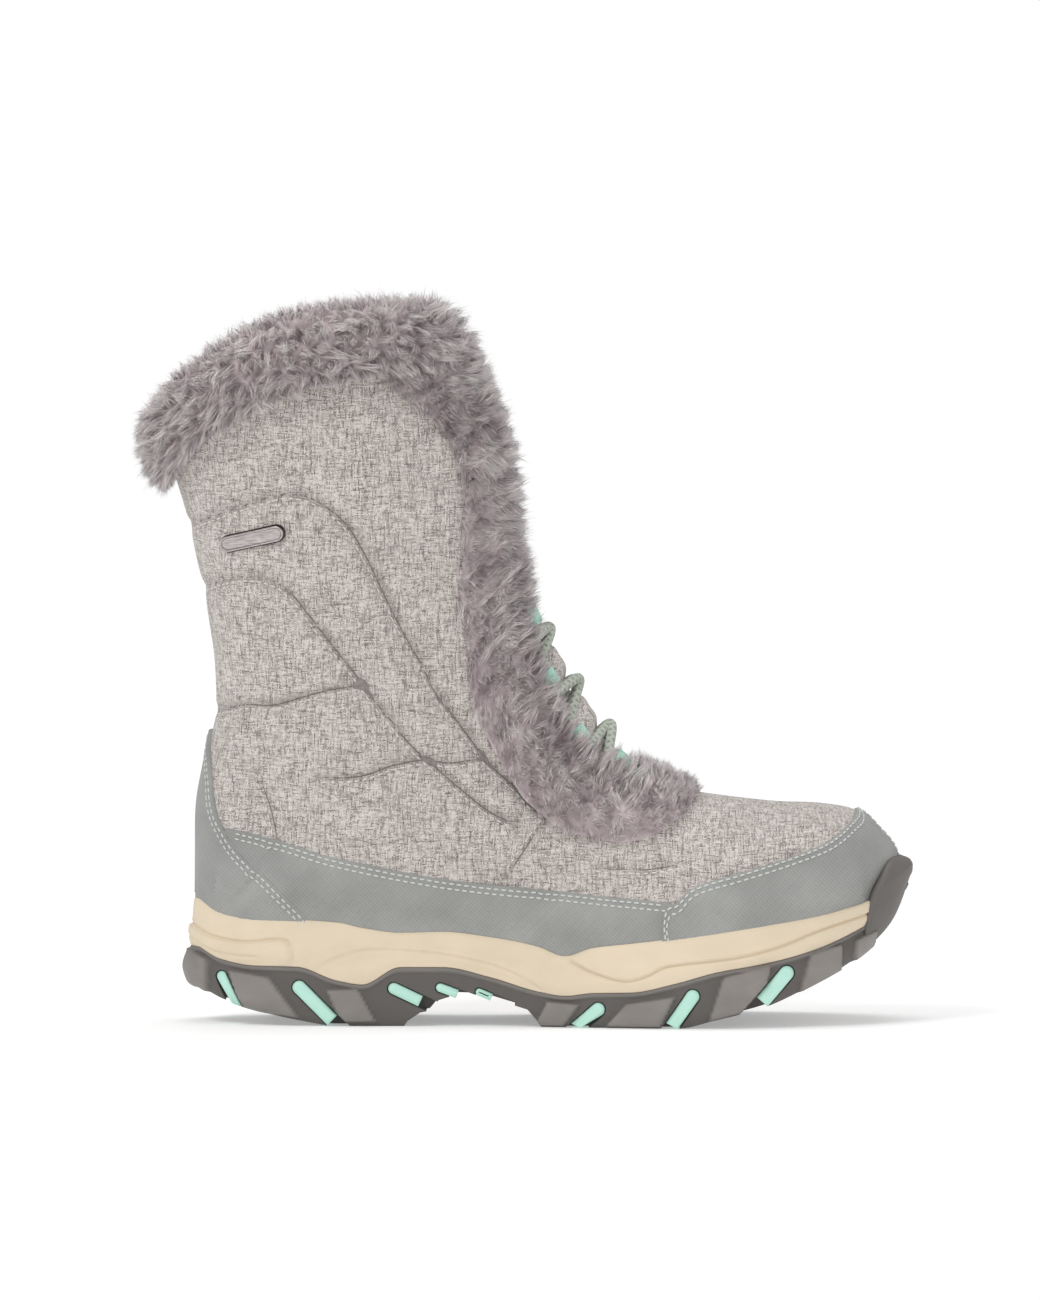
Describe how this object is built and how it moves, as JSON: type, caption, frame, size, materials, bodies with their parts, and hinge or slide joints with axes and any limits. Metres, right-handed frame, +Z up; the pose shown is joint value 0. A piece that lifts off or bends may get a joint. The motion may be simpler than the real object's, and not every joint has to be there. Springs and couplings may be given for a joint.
{
  "type": "snow boot",
  "caption": "Woman's lace-up snow boot for the right foot, with padded fabric upper, plush pile collar and throat trim, synthetic overlays and lugged rubber sole.",
  "frame": {"origin": "on the floor, under the middle of the boot's bounding box", "axes": "+X towards the toe, +Y towards the inner side of the foot, +Z up; the outer side faces -Y"},
  "size_m": [0.292, 0.117, 0.2724],
  "materials": {
    "outsole_rubber": "warm dark grey rubber, matt",
    "lug_rubber": "mint green rubber, satin",
    "midsole_foam": "cream moulded foam, matt",
    "lining": "grey brushed lining",
    "upper_fabric": "heathered grey-beige woven fabric, quilted",
    "tongue_fabric": "the upper's fabric over padding",
    "overlay_synthetic": "cool grey embossed synthetic, matt, with light stitching",
    "pile": "grey-mauve plush pile",
    "lace_cord": "grey-green braided cord",
    "loop_webbing": "mint green webbing",
    "badge_metal": "dark nickel, softly polished, bare"
  },
  "bodies": {
    "root": {"outsole": "outsole_rubber", "midsole": "midsole_foam", "insole": "lining", "upper": "upper_fabric", "toe_cap": "overlay_synthetic", "side_rand_outer": "overlay_synthetic", "side_rand_inner": "overlay_synthetic", "heel_counter": "overlay_synthetic", "tongue": "tongue_fabric", "throat_trim": "pile", "collar_trim": "pile", "lace": "lace_cord", "badge_plate": "badge_metal", "tread_lug_inner_1": "lug_rubber", "tread_lug_inner_2": "lug_rubber", "tread_lug_inner_3": "lug_rubber", "tread_lug_inner_4": "lug_rubber", "tread_lug_inner_5": "lug_rubber", "tread_lug_inner_6": "lug_rubber", "tread_lug_inner_7": "lug_rubber", "tread_lug_inner_8": "lug_rubber", "tread_lug_outer_1": "lug_rubber", "tread_lug_outer_2": "lug_rubber", "tread_lug_outer_3": "lug_rubber", "tread_lug_outer_4": "lug_rubber", "tread_lug_outer_5": "lug_rubber", "tread_lug_outer_6": "lug_rubber", "tread_lug_outer_7": "lug_rubber", "tread_lug_outer_8": "lug_rubber", "lace_loop_inner_1": "loop_webbing", "lace_loop_inner_2": "loop_webbing", "lace_loop_inner_3": "loop_webbing", "lace_loop_inner_4": "loop_webbing", "lace_loop_inner_5": "loop_webbing", "lace_loop_inner_6": "loop_webbing", "lace_loop_outer_1": "loop_webbing", "lace_loop_outer_2": "loop_webbing", "lace_loop_outer_3": "loop_webbing", "lace_loop_outer_4": "loop_webbing", "lace_loop_outer_5": "loop_webbing", "lace_loop_outer_6": "loop_webbing"}
  },
  "joints": []
}
